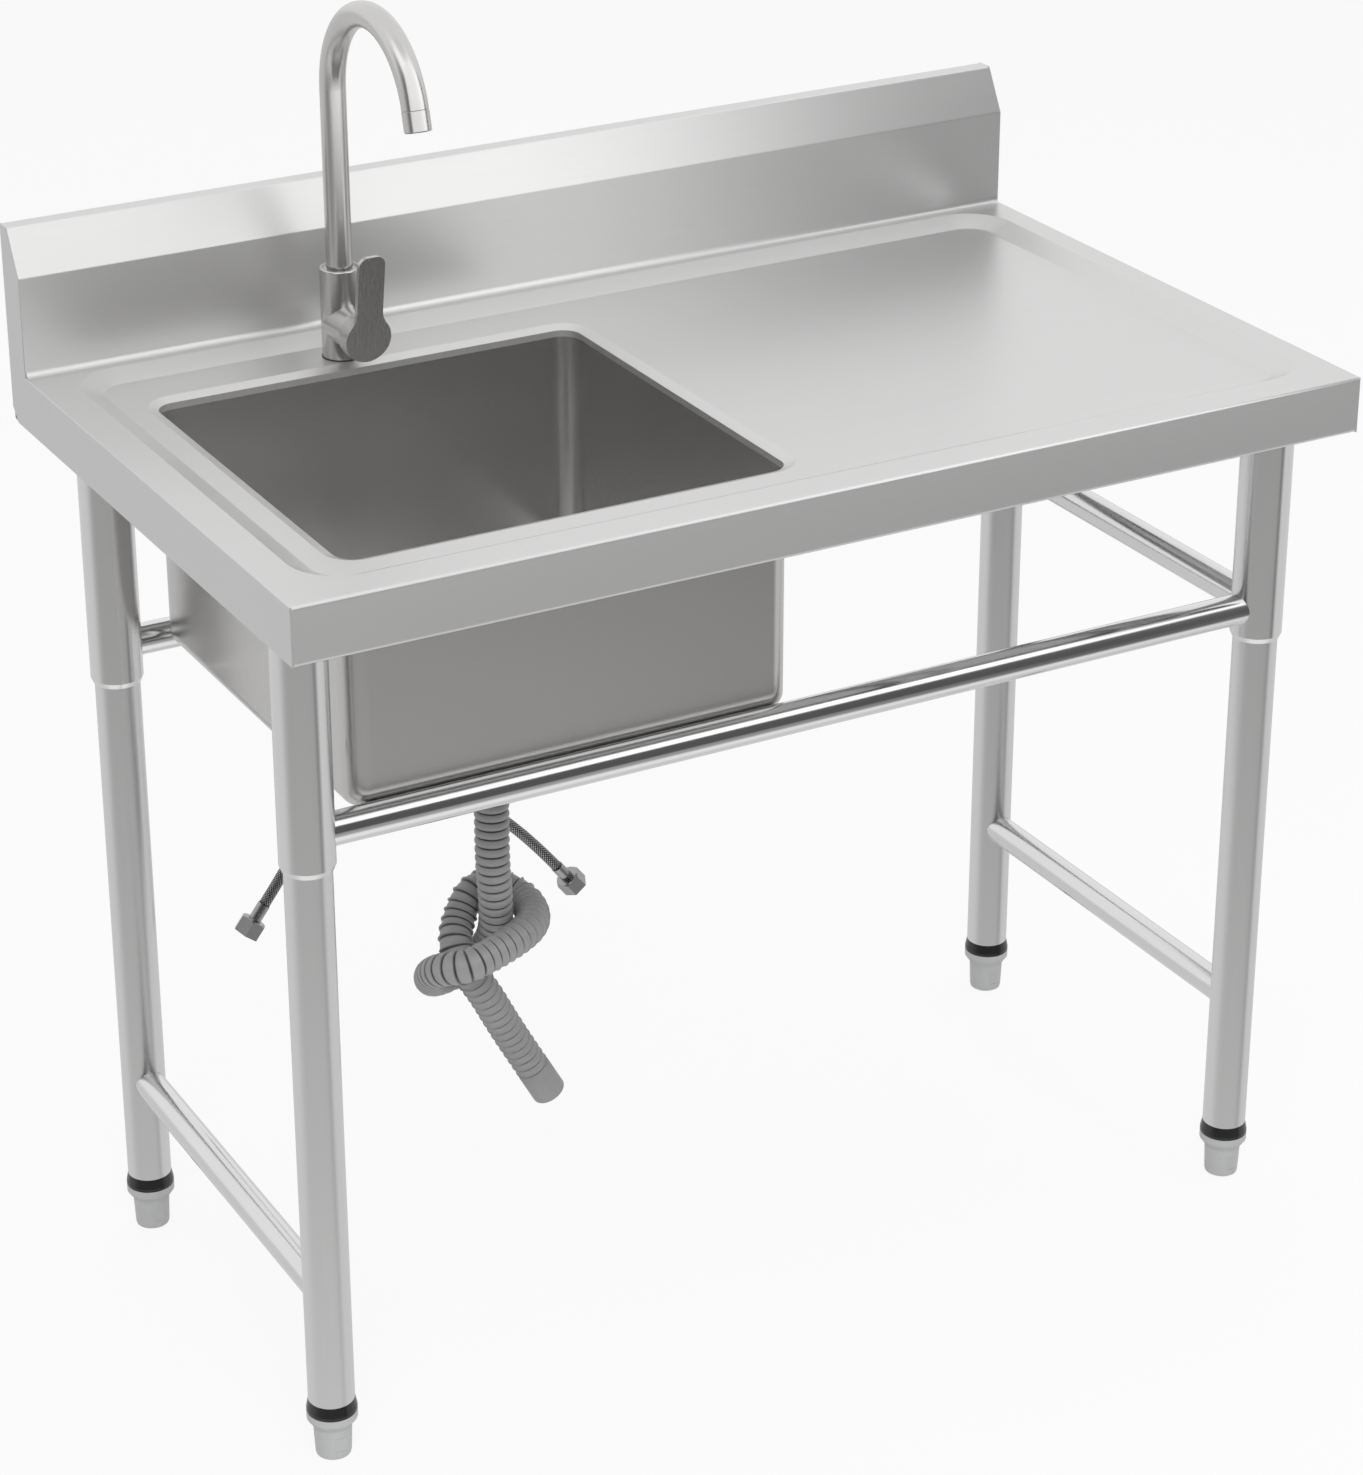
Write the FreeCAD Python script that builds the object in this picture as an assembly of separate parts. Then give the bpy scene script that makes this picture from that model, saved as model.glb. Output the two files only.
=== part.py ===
import FreeCAD, Part
import math
import os
from FreeCAD import Vector

# Kitchen sink unit, free-standing, of stainless steel. Millimetres, +Z up, front towards -Y.
# The origin is on the floor below the middle of the worktop.

# Worktop: one sheet folded into apron, deck, backsplash and its back edge
top_length = 1000.0
top_depth = 600.0
rim_height = 820.0
apron_height = 50.0
apron_return = 15.0
splash_height = 130.0
splash_bevel = 40.0
splash_base = 38.0
splash_crown = 16.0
back_flange = 20.0
sheet = 1.5
fold_radius = 3.0
cove_radius = 6.0
corner_round = 1.0
end_flange = 10.0
end_notch = 12.0

# Pressed recess in the deck
recess_left = -468.0
recess_right = 476.0
recess_front = -267.0
recess_back = 251.0
recess_depth = 9.0
recess_slope = 20.0
recess_corner = 45.0
press_radius = 4.0

# Bowl
bowl_left = -418.0
bowl_right = -14.0
bowl_front = -214.0
bowl_back = 175.5
bowl_corner = 18.0
bowl_height = 232.0
bowl_sheet = 1.2
bowl_foot_radius = 16.0
lip_width = 9.5
lip_drop = 3.4
lip_neck = 6.0

# Drain
drain_x = -200.0
drain_y = -20.5
drain_hole = 90.0
drain_seat = 116.0
drain_seat_depth = 2.5
strainer_depth = 42.0
strainer_wall = 1.2
outlet_bore = 34.0
tailpiece_collar = 3.0
gasket_thickness = 3.0
locknut_height = 9.0
locknut_lugs = 8
basket_depth = 20.0
basket_slots = 10

# Legs, rails and feet
leg_inset_side = 37.0
leg_inset_front = 74.7
leg_inset_back = 117.5
leg_diameter = 40.0
leg_wall = 1.5
leg_bottom = 56.0
leg_overlap = 80.0
clamp_screw_drop = 15.0
sleeve_diameter = 46.4
sleeve_wall = 1.5
sleeve_tail = 29.5
sleeve_neck = 5.0
sleeve_lip = 1.0
slide_clearance = 0.1
seat_gap = 0.3
rail_diameter = 28.0
rail_wall = 1.5
rail_below_bowl = 0.5
rail_beside_bowl = 0.8
lower_left_rail_height = 156.0
lower_right_rail_height = 188.0
foot_body_height = 30.0
foot_body_diameter = 33.0
foot_flange_height = 14.0
foot_flange_diameter = 43.7
foot_steps = 3
foot_step = 1.6
foot_stem_diameter = 10.0
foot_travel = 20.0
insert_plug = 24.0
thread_clearance = 0.05

# Channels under the deck
hat_web = 42.0
hat_height = 20.0
hat_flange = 14.0
hat_on_floor = 14.0
mid_channel_x = 225.0
channel_sheet = 1.5
rear_channel_lip = 20.0
leg_plate_thickness = 3.0
leg_plate_half = 30.0
plate_bolt = 6.0

# Tap
tap_x = -226.0
tap_y = 204.0
tap_gasket = 1.0
tap_diameter = 36.0
tap_height = 81.0
shank_diameter = 33.0
shank_bore = 26.0
spout_diameter = 23.0
spout_bore = 19.0
spout_socket = 24.0
spout_straight = 161.4
spout_radius = 80.3
spout_sweep = 165.6
spout_turn = 1.2
bush_diameter = 31.0
bush_height = 8.0
aerator_diameter = 23.4
aerator_length = 18.5
aerator_bore = 17.0
turning_clearance = 0.05

# Cartridge housing and lever
housing_height = 31.6
housing_radius = 18.5
pivot_reach = 33.0
cartridge_radius = 15.0
dome_hole = 11.5
dome_flat = 11.5
cap_clearance = 0.3
cap_radius = 21.4
cap_face = 5.0
paddle_width = 24.5
paddle_rise = 79.0
paddle_lean = 10.0
paddle_thickness = 5.0
paddle_corner = 8.5
lever_hollow = 22.0
stem_width = 7.0
stem_pin = 3.0
carrier_radius = 9.0
lever_tilt = 25.0

# Supply hoses
hose_diameter = 10.5
union_flats = 23.0
union_length = 16.0
union_shoulder = 2.5
union_thread = 18.6
ferrule_diameter = 12.0
ferrule_length = 17.0
ferrule_collar = 2.0
ferrule_bore = 7.0
tail_flats = 9.0
left_supply = [
    Vector(-232.5, 204.0, 741.0),
    Vector(-232.5, 204.0, 701.0),
    Vector(-231.5, 212.0, 630.0),
    Vector(-234.0, 216.0, 530.0),
    Vector(-243.0, 215.0, 435.0),
    Vector(-267.0, 215.0, 363.0),
    Vector(-299.0, 215.0, 313.0),
    Vector(-322.0, 215.0, 283.0),
]
right_supply = [
    Vector(-219.5, 204.0, 741.0),
    Vector(-219.5, 204.0, 701.0),
    Vector(-220.5, 212.0, 630.0),
    Vector(-216.0, 216.0, 530.0),
    Vector(-193.0, 215.0, 440.0),
    Vector(-141.0, 215.0, 374.0),
    Vector(-80.0, 215.0, 317.0),
    Vector(-41.0, 215.0, 276.0),
    Vector(-16.8, 215.0, 245.0),
]

# Corrugated waste hose, tied in an overhand knot
waste_diameter = 31.5
waste_root = 27.0
waste_bore = 23.0
waste_cuff_diameter = 32.5
waste_cuff_length = 38.0
waste_top_cuff_reach = 12.0
waste_top_cuff_length = 38.0
waste_ribs = 36
rib_crest = 0.45
waste_route = [
    Vector(-200.0, -20.5, 502.0),
    Vector(-200.0, -20.5, 452.0),
    Vector(-202.0, -23.5, 406.0),
    Vector(-198.0, -21.0, 365.0),
    Vector(-195.0, -13.0, 327.0),
    Vector(-200.5, 8.0, 297.0),
    Vector(-224.5, 14.0, 282.0),
    Vector(-253.0, 1.0, 287.5),
    Vector(-271.5, -26.5, 311.5),
    Vector(-273.5, -56.0, 331.5),
    Vector(-254.0, -73.0, 337.5),
    Vector(-228.0, -68.0, 340.5),
    Vector(-197.5, -59.0, 344.0),
    Vector(-173.5, -44.0, 345.5),
    Vector(-159.5, -16.5, 343.0),
    Vector(-160.0, 8.5, 348.0),
    Vector(-178.5, 22.5, 357.5),
    Vector(-203.5, 18.5, 359.0),
    Vector(-222.0, 7.5, 340.0),
    Vector(-236.0, -11.5, 326.0),
    Vector(-233.0, -24.5, 310.0),
    Vector(-215.5, -26.5, 282.0),
    Vector(-194.5, -26.0, 241.0),
    Vector(-171.0, -25.5, 198.5),
    Vector(-147.0, -28.5, 155.0),
]

UP = Vector(0, 0, 1)
RIGHT = Vector(1, 0, 0)
FORWARD = Vector(0, -1, 0)

# Places that follow from the sizes
half_length = top_length / 2
front = -top_depth / 2
back = top_depth / 2
apron_bottom = rim_height - apron_height
splash_front = back - splash_base
splash_top = rim_height + splash_height
recess_floor = rim_height - recess_depth
lip_bottom = recess_floor - lip_drop
neck_bottom = lip_bottom - lip_neck
bowl_bottom = rim_height - bowl_height
bowl_floor = bowl_bottom + bowl_sheet
seat_floor = bowl_floor - drain_seat_depth
seat_bottom = bowl_bottom - drain_seat_depth
leg_x = half_length - leg_inset_side
leg_front = front + leg_inset_front
leg_back = back - leg_inset_back
hat_top = recess_floor - sheet
hat_bottom = hat_top - hat_height
sleeve_top = hat_bottom - leg_plate_thickness
upper_rail_height = bowl_bottom - rail_below_bowl
back_rail_front = bowl_back + bowl_sheet + rail_beside_bowl
back_rail_aside = max(0, back_rail_front + rail_diameter / 2 - leg_back)
sleeve_bottom = upper_rail_height - sleeve_tail
leg_top = sleeve_bottom + leg_overlap
recess_flat_left = recess_left + recess_slope
recess_flat_right = recess_right - recess_slope
left_hat_x = recess_flat_left + hat_on_floor - hat_web / 2
right_hat_x = recess_flat_right - hat_on_floor + hat_web / 2
tap_base = recess_floor + tap_gasket
tap_top = tap_base + tap_height
pivot = Vector(tap_x, tap_y - pivot_reach, tap_base + housing_height - tap_gasket)
corners = {
    "front_left": (-leg_x, leg_front),
    "back_left": (-leg_x, leg_back),
    "front_right": (leg_x, leg_front),
    "back_right": (leg_x, leg_back),
}


# Shapes


def unit(vector):
    return Vector(vector).normalize()


def along_x(y, z):
    return Vector(0, y, z)


def rounded(points, radii):
    """Edges through points, turning at each inner point on an arc of its radius."""
    edges = []
    start = points[0]
    for before, corner, after, radius in zip(points, points[1:], points[2:], radii):
        arrive = unit(corner - before)
        leave = unit(after - corner)
        half_turn = arrive.getAngle(leave) / 2
        reach = radius * math.tan(half_turn)
        first = corner - arrive * reach
        last = corner + leave * reach
        bulge = radius / math.cos(half_turn) - radius
        middle = corner + unit(leave - arrive) * bulge
        edges.append(Part.LineSegment(start, first).toShape())
        edges.append(Part.Arc(first, middle, last).toShape())
        start = last
    edges.append(Part.LineSegment(start, points[-1]).toShape())
    return edges


def folded_sheet(skin, radii, thickness, inside, span):
    """Sheet whose outer skin follows the points, on the inside hand of the path, drawn out along span."""
    hand = unit(span) if inside > 0 else -unit(span)
    directions = [unit(b - a) for a, b in zip(skin, skin[1:])]
    normals = [hand.cross(d) for d in directions]
    offset = [skin[0] + normals[0] * thickness]
    inner_radii = []
    for corner, one, two, before, after, radius in zip(
        skin[1:-1], normals, normals[1:], directions, directions[1:], radii
    ):
        offset.append(corner + (one + two) * (thickness / (1 + one.dot(two))))
        turns_in = one.dot(after - before) > 0
        inner_radii.append(radius - thickness if turns_in else radius + thickness)
    offset.append(skin[-1] + normals[-1] * thickness)
    edges = rounded(skin, radii)
    edges.append(Part.LineSegment(skin[-1], offset[-1]).toShape())
    edges += rounded(offset[::-1], inner_radii[::-1])
    edges.append(Part.LineSegment(offset[0], skin[0]).toShape())
    return Part.Face(Part.Wire(Part.__sortEdges__(edges))).extrude(span)


def rounded_rectangle(left, right, near, far, radius, z):
    """Closed outline in the plane at height z, starting on its near side."""
    edges = []
    centres = [
        (right - radius, near + radius, -90),
        (right - radius, far - radius, 0),
        (left + radius, far - radius, 90),
        (left + radius, near + radius, 180),
    ]
    ends = []
    for x, y, start in centres:
        points = []
        for turn in (0, 45, 90):
            angle = math.radians(start + turn)
            points.append(Vector(x + radius * math.cos(angle), y + radius * math.sin(angle), z))
        ends.append(points)
    for number, points in enumerate(ends):
        edges.append(Part.LineSegment(ends[number - 1][2], points[0]).toShape())
        edges.append(Part.Arc(*points).toShape())
    return Part.Wire(edges)


def prism(outline, height):
    return Part.Face(outline).extrude(UP * height)


def box(left, right, near, far, bottom, top):
    return Part.makeBox(right - left, far - near, top - bottom, Vector(left, near, bottom))


def rod(diameter, start, end):
    return Part.makeCylinder(diameter / 2, (end - start).Length, start, unit(end - start))


def pipe(diameter, bore, start, end):
    return rod(diameter, start, end).cut(rod(bore, start, end))


def joined(first, *others):
    """One solid of several that touch."""
    return first.multiFuse(others).removeSplitter().Solids[0]


def turned(outline, centre, axis=UP):
    """Solid of revolution of (radius, height) points about the axis through centre."""
    points = [Vector(radius, 0, height) for radius, height in outline]
    solid = Part.Face(Part.makePolygon(points + points[:1])).revolve(Vector(0, 0, 0), UP, 360)
    solid.Placement = FreeCAD.Placement(centre, FreeCAD.Rotation(UP, axis))
    return solid


def hexagon(flats, length, centre, axis=UP):
    """Hexagonal bar from centre along axis."""
    radius = flats / math.sqrt(3)
    points = []
    for number in range(7):
        angle = math.radians(60 * number)
        points.append(Vector(radius * math.cos(angle), radius * math.sin(angle), 0))
    bar = Part.Face(Part.makePolygon(points)).extrude(UP * length)
    bar.Placement = FreeCAD.Placement(centre, FreeCAD.Rotation(UP, axis))
    return bar


def ring_of(count, feature, centre):
    """Copies of a feature, evenly spaced about the upright axis through centre."""
    copies = []
    for number in range(count):
        copy = feature.copy()
        copy.rotate(centre, UP, number * 360.0 / count)
        copies.append(copy)
    return copies


def save(name, *shapes):
    """Write one sub-part: a solid, or several separate solids that share a name."""
    solids = [solid for shape in shapes for solid in shape.Solids]
    whole = solids[0] if len(solids) == 1 else Part.makeCompound(solids)
    whole.exportStep("parts/" + name + ".step")


# Routes of hoses: straight runs joined by tangent arcs


def arc_share(points):
    """Radius at each inner point: an arc that takes 0.45 of the shorter run beside it."""
    radii = []
    for before, corner, after in zip(points, points[1:], points[2:]):
        half_turn = (corner - before).getAngle(after - corner) / 2
        shorter = min((corner - before).Length, (after - corner).Length)
        radii.append(0.45 * shorter / math.tan(half_turn))
    return radii


def report_route(name, points, diameter, solid):
    radii = arc_share(points)
    length = Part.Wire(rounded(points, radii)).Length
    print(name, "length %.1f" % length, "radii", " ".join("%.0f" % r for r in radii))
    section = math.pi * diameter**2 / 4
    print(name, "volume over section times length %.4f" % (solid.Volume / (section * length)))


def tube_along(points, diameter):
    path = Part.Wire(rounded(points, arc_share(points)))
    circle = Part.Circle(points[0], points[1] - points[0], diameter / 2)
    return path.makePipeShell([Part.Wire(circle.toShape())], True, False)


def stations(points, distances):
    """Centre and direction of the route at each distance from its start."""
    edges = rounded(points, arc_share(points))
    found = []
    for distance in distances:
        rest = distance
        for edge in edges:
            if rest <= edge.Length or edge is edges[-1]:
                break
            rest -= edge.Length
        at = edge.getParameterByLength(min(rest, edge.Length))
        found.append((edge.valueAt(at), edge.tangentAt(at)))
    return found


def loft_of_rings(centres, diameters):
    """Ruled loft through circles whose X axes turn as little as the route lets them."""
    axis = RIGHT
    rings = []
    for (centre, along), diameter in zip(centres, diameters):
        axis = unit(axis - along * axis.dot(along))
        circle = Part.Wire(Part.Circle(Vector(0, 0, 0), UP, diameter / 2).toShape())
        turn = FreeCAD.Rotation(axis, along.cross(axis), along, "ZXY")
        circle.Placement = FreeCAD.Placement(centre, turn)
        rings.append(circle)
    return Part.makeLoft(rings, True, True)


# Worktop


def recess_void(grow):
    """Space above the recess floor, grown by a sheet thickness for the underside."""
    top = rounded_rectangle(
        recess_left - grow, recess_right + grow, recess_front - grow, recess_back + grow,
        recess_corner + grow, rim_height,
    )
    bottom = rounded_rectangle(
        recess_left + recess_slope - grow, recess_right - recess_slope + grow,
        recess_front + recess_slope - grow, recess_back - recess_slope + grow,
        recess_corner - recess_slope + grow, recess_floor - grow,
    )
    void = Part.makeLoft([top, bottom], True, True)
    floor_edges = [e for e in void.Edges if e.BoundBox.ZMax < recess_floor - grow + 0.01]
    return void.makeFillet(press_radius + grow, floor_edges)


def bowl_outline(grow, z):
    return rounded_rectangle(
        bowl_left - grow, bowl_right + grow, bowl_front - grow, bowl_back + grow,
        bowl_corner + grow, z,
    )


def make_worktop():
    skin = [
        along_x(front + apron_return, apron_bottom),
        along_x(front, apron_bottom),
        along_x(front, rim_height),
        along_x(splash_front, rim_height),
        along_x(splash_front, splash_top - splash_bevel),
        along_x(back - splash_crown, splash_top),
        along_x(back, splash_top),
        along_x(back, splash_top - back_flange),
    ]
    radii = [fold_radius, fold_radius, cove_radius, fold_radius, fold_radius, fold_radius]
    span = RIGHT * (top_length - 2 * sheet)
    top = folded_sheet(skin, radii, sheet, -1, span)
    top.translate(Vector(-half_length + sheet, 0, 0))
    tray = recess_void(sheet)
    tray = tray.fuse(Part.makeLoft([
        bowl_outline(lip_width + sheet, recess_floor - sheet),
        bowl_outline(sheet, lip_bottom - sheet),
    ], True, True))
    tray = tray.fuse(prism(bowl_outline(sheet, neck_bottom), lip_bottom - neck_bottom))
    void = recess_void(0)
    void = void.fuse(Part.makeLoft([
        bowl_outline(lip_width, recess_floor),
        bowl_outline(0, lip_bottom),
    ], True, True))
    void = void.fuse(prism(bowl_outline(0, neck_bottom), lip_bottom - neck_bottom))
    return top.fuse(tray).cut(void).removeSplitter()


def make_end_plate(side):
    """Side apron with the end of the backsplash above it; side is -1 at the left, 1 at the right."""
    outline = [
        along_x(front, apron_bottom),
        along_x(front, rim_height),
        along_x(splash_front, rim_height),
        along_x(splash_front, splash_top - splash_bevel),
        along_x(back - splash_crown, splash_top),
        along_x(back, splash_top),
        along_x(back, apron_bottom + end_notch),
        along_x(back - end_notch, apron_bottom),
    ]
    plate = Part.Face(Part.makePolygon(outline + outline[:1])).extrude(RIGHT * sheet)
    plate.translate(Vector(half_length - sheet, 0, 0))
    flange = box(
        half_length - sheet - end_flange, half_length - sheet,
        front + apron_return + sheet, back - rear_channel_lip - seat_gap,
        apron_bottom, apron_bottom + sheet,
    )
    plate = plate.fuse(flange).removeSplitter()
    outer = [e for e in plate.Edges if e.BoundBox.XMin > half_length - 0.01]
    plate = plate.makeFillet(corner_round, outer)
    if side < 0:
        plate = plate.mirror(Vector(0, 0, 0), RIGHT)
    return plate


def make_rear_channel():
    """Closes the back of the deck between the end plates, and stiffens its edge."""
    skin = [
        along_x(splash_front - sheet * 6, rim_height - sheet),
        along_x(back, rim_height - sheet),
        along_x(back, apron_bottom),
        along_x(back - rear_channel_lip, apron_bottom),
    ]
    length = top_length - 2 * sheet
    channel = folded_sheet(skin, [fold_radius, fold_radius], sheet, -1, RIGHT * length)
    channel.translate(Vector(-half_length + sheet, 0, 0))
    return channel


def make_hat_channel(middle):
    """Top-hat section from front to back, its crown welded to the underside of the recess floor."""
    half_crown = hat_web / 2
    half_width = half_crown + hat_flange
    start = front + sheet
    skin = [
        Vector(middle - half_width, start, hat_bottom + channel_sheet),
        Vector(middle - half_crown, start, hat_bottom + channel_sheet),
        Vector(middle - half_crown, start, hat_top),
        Vector(middle + half_crown, start, hat_top),
        Vector(middle + half_crown, start, hat_bottom + channel_sheet),
        Vector(middle + half_width, start, hat_bottom + channel_sheet),
    ]
    radii = [fold_radius - channel_sheet, fold_radius, fold_radius, fold_radius - channel_sheet]
    span = Vector(0, top_depth - 2 * sheet, 0)
    return folded_sheet(skin, radii, channel_sheet, 1, span)


def make_bowl():
    """Deep pressed tub with a round seat for the strainer."""
    depth = neck_bottom - bowl_bottom
    outer = prism(bowl_outline(bowl_sheet, bowl_bottom), depth)
    low = [e for e in outer.Edges if e.BoundBox.ZMax < bowl_bottom + 0.01]
    outer = outer.makeFillet(bowl_foot_radius, low)
    inner = prism(bowl_outline(0, bowl_floor), depth - bowl_sheet)
    low = [e for e in inner.Edges if e.BoundBox.ZMax < bowl_floor + 0.01]
    inner = inner.makeFillet(bowl_foot_radius - bowl_sheet, low)
    seat_outside = rod(drain_seat + 2 * bowl_sheet, drain_at(seat_bottom), drain_at(bowl_floor))
    seat_inside = rod(drain_seat, drain_at(seat_floor), drain_at(bowl_floor + bowl_sheet))
    hole = rod(drain_hole, drain_at(seat_bottom - bowl_sheet), drain_at(bowl_floor))
    return outer.fuse(seat_outside).cut(inner).cut(seat_inside).cut(hole).removeSplitter()


# Drain


def drain_at(z):
    return Vector(drain_x, drain_y, z)


strainer_bottom = seat_floor - strainer_depth
gasket_bottom = seat_bottom - gasket_thickness
locknut_bottom = gasket_bottom - locknut_height
tailpiece_top = strainer_bottom
tailpiece_bottom = waste_route[0].z
neck_top = strainer_bottom + 12
cup_radius = drain_hole / 2 - 0.5
outlet_radius = outlet_bore / 2 + strainer_wall


def make_strainer_body():
    """Flanged cup in the bowl's drain hole, with a narrow outlet below."""
    wall = strainer_wall
    flange_top = seat_floor + wall
    return turned([
        (cup_radius - wall, flange_top),
        (drain_seat / 2 - 0.5, flange_top),
        (drain_seat / 2 - 0.5, seat_floor),
        (cup_radius, seat_floor),
        (cup_radius, neck_top + 4),
        (outlet_radius, neck_top),
        (outlet_radius, strainer_bottom),
        (outlet_bore / 2, strainer_bottom),
        (outlet_bore / 2, neck_top + wall),
        (cup_radius - wall, neck_top + wall + 4),
    ], drain_at(0))


def make_strainer_gasket():
    return pipe(drain_seat, 2 * cup_radius + 0.2, drain_at(gasket_bottom), drain_at(seat_bottom))


def make_strainer_locknut():
    nut = pipe(
        drain_seat - 8, 2 * (cup_radius + thread_clearance),
        drain_at(locknut_bottom), drain_at(gasket_bottom),
    )
    lug = box(
        drain_x + drain_seat / 2 - 5, drain_x + drain_seat / 2,
        drain_y - 5, drain_y + 5, locknut_bottom, gasket_bottom - 3,
    )
    return nut.multiFuse(ring_of(locknut_lugs, lug, drain_at(0))).removeSplitter()


def make_strainer_basket():
    """Loose cup with slots in its floor and a knob to lift it by."""
    wall = 1.0
    rim = cup_radius - strainer_wall - 1.0
    floor = seat_floor - basket_depth
    cup = turned([
        (0, floor),
        (rim - 8, floor),
        (rim, seat_floor - 4),
        (rim, seat_floor),
        (rim - wall, seat_floor),
        (rim - wall, seat_floor - 4),
        (rim - 8 - wall, floor + wall),
        (5, floor + wall),
        (4, seat_floor - 6),
        (8, seat_floor - 2),
        (8, seat_floor),
        (0, seat_floor),
    ], drain_at(0))
    slot = box(
        drain_x + 10, drain_x + rim - 12, drain_y - 1.5, drain_y + 1.5,
        floor - wall, floor + 2 * wall,
    )
    return cup.cut(Part.makeCompound(ring_of(basket_slots, slot, drain_at(0))))


def make_basket_rest():
    """Ring welded inside the cup, which the basket stands on."""
    top = seat_floor - basket_depth - seat_gap
    reach = 2 * (cup_radius - strainer_wall)
    return pipe(reach, reach - 24, drain_at(top - 1.5), drain_at(top))


def make_tailpiece():
    """Collared tube from the strainer's outlet to the top of the hose."""
    collar_diameter = 2 * (outlet_radius + tailpiece_collar)
    tube = pipe(waste_root, waste_bore, drain_at(tailpiece_bottom), drain_at(tailpiece_top))
    collar_bottom = tailpiece_top - tailpiece_collar
    collar = pipe(collar_diameter, waste_bore, drain_at(collar_bottom), drain_at(tailpiece_top))
    return joined(tube, collar)


def make_slip_nut():
    """Draws the tailpiece's collar up against the strainer's outlet."""
    height = 20.0
    top = tailpiece_top + 9
    inside = 2 * (outlet_radius + tailpiece_collar + thread_clearance)
    stem = waste_root + 2 * slide_clearance
    nut = turned([
        (stem / 2, top - height),
        (inside / 2 + 4, top - height),
        (inside / 2 + 4, top),
        (outlet_radius + thread_clearance, top),
        (outlet_radius + thread_clearance, tailpiece_top),
        (inside / 2, tailpiece_top),
        (inside / 2, tailpiece_top - tailpiece_collar),
        (stem / 2, tailpiece_top - tailpiece_collar),
    ], drain_at(0))
    rim = drain_x + inside / 2 + 4
    groove = box(rim - 1, rim + 1, drain_y - 2, drain_y + 2, top - height - 1, top + 1)
    return nut.cut(Part.makeCompound(ring_of(8, groove, drain_at(0))))


def make_waste_hose():
    """Corrugated hose with smooth ends for its cuffs, knotted once round itself."""
    total = Part.Wire(rounded(waste_route, arc_share(waste_route))).Length
    pitch = (total - waste_top_cuff_reach - waste_cuff_length) / waste_ribs
    flank = (1 - rib_crest) / 2
    distances = [0.0]
    diameters = [waste_root]
    bore_distances = [0.0]
    for number in range(waste_ribs):
        start = waste_top_cuff_reach + number * pitch
        for share, diameter in (
            (0.02, waste_root),
            (flank, waste_diameter),
            (1 - flank, waste_diameter),
            (0.98, waste_root),
        ):
            distances.append(start + share * pitch)
            diameters.append(diameter)
        bore_distances.append(start + pitch / 2)
    distances.append(total)
    diameters.append(waste_root)
    bore_distances.append(total)
    outside = loft_of_rings(stations(waste_route, distances), diameters)
    bore_rings = stations(waste_route, bore_distances)
    inside = loft_of_rings(bore_rings, [waste_bore] * len(bore_rings))
    hose = outside.cut(inside)
    radii = arc_share(waste_route)
    print("waste hose length %.1f" % total, "radii", " ".join("%.0f" % r for r in radii))
    return hose, total


def least_gap(points, diameter, length):
    """Least gap between stretches of a hose that lie at least two and a half diameters apart along it."""
    step = 4.0
    count = int(length / step)
    places = [place for place, _ in stations(points, [number * step for number in range(count)])]
    apart = int(2.5 * diameter / step)
    least = length
    for number, place in enumerate(places):
        for other in places[number + apart:]:
            least = min(least, (place - other).Length)
    return least - diameter


def make_cuff(end, beside, reach, length):
    """Smooth rubber sleeve that grips the end of the hose over the reach, and goes past it if it is longer."""
    inwards = unit(beside - end)
    inner_end = end + inwards * reach
    bore = waste_root + 2 * slide_clearance
    return pipe(waste_cuff_diameter, bore, inner_end - inwards * length, inner_end)


# Legs, rails and feet


def make_sleeve(x, y):
    """Upper leg, necked in at its lower end to hold the lower leg."""
    radius = sleeve_diameter / 2
    bore = leg_diameter / 2 + slide_clearance
    shoulder = sleeve_bottom + sleeve_neck
    return turned([
        (bore, sleeve_bottom),
        (bore + sleeve_lip, sleeve_bottom),
        (radius, shoulder),
        (radius, sleeve_top),
        (radius - sleeve_wall, sleeve_top),
        (radius - sleeve_wall, shoulder),
        (bore, sleeve_bottom + sleeve_lip),
    ], Vector(x, y, 0))


def make_lower_leg(x, y):
    return pipe(leg_diameter, leg_diameter - 2 * leg_wall, Vector(x, y, leg_bottom), Vector(x, y, leg_top))


def make_rail(start, end, post_diameter, aside=0):
    """Tube between two upright posts, its axis that far behind theirs, its ends cut to their round."""
    set_back = FORWARD * -aside
    rail = pipe(rail_diameter, rail_diameter - 2 * rail_wall, start + set_back, end + set_back)
    for place in (start, end):
        rail = rail.cut(rod(post_diameter, place - UP * rail_diameter, place + UP * rail_diameter))
    return rail


def make_leg_plate(x, y):
    reach = hat_web / 2 + hat_flange
    middle = left_hat_x if x < 0 else right_hat_x
    return box(
        middle - reach, middle + reach, y - leg_plate_half, y + leg_plate_half,
        sleeve_top, hat_bottom,
    )


def bolt_places(x, y):
    """Where the two bolts of a leg's plate pass through the hat channel's flanges."""
    middle = left_hat_x if x < 0 else right_hat_x
    across = (hat_web + hat_flange) / 2
    along = leg_plate_half - plate_bolt
    return [Vector(middle + side * across, y + side * along, 0) for side in (-1, 1)]


def make_plate_bolt(place):
    """Bolt up through the plate and the channel's flange, with its nut above."""
    head = hexagon(plate_bolt + 4, 4, place + UP * (sleeve_top - 4))
    shank = rod(plate_bolt, place + UP * sleeve_top, place + UP * (hat_bottom + 7))
    nut = hexagon(plate_bolt + 4, 5, place + UP * (hat_bottom + channel_sheet))
    return joined(head, shank, nut)


def make_bolt_hole(place):
    return rod(plate_bolt, place + UP * (sleeve_top - 1), place + UP * (hat_bottom + 3))


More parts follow.
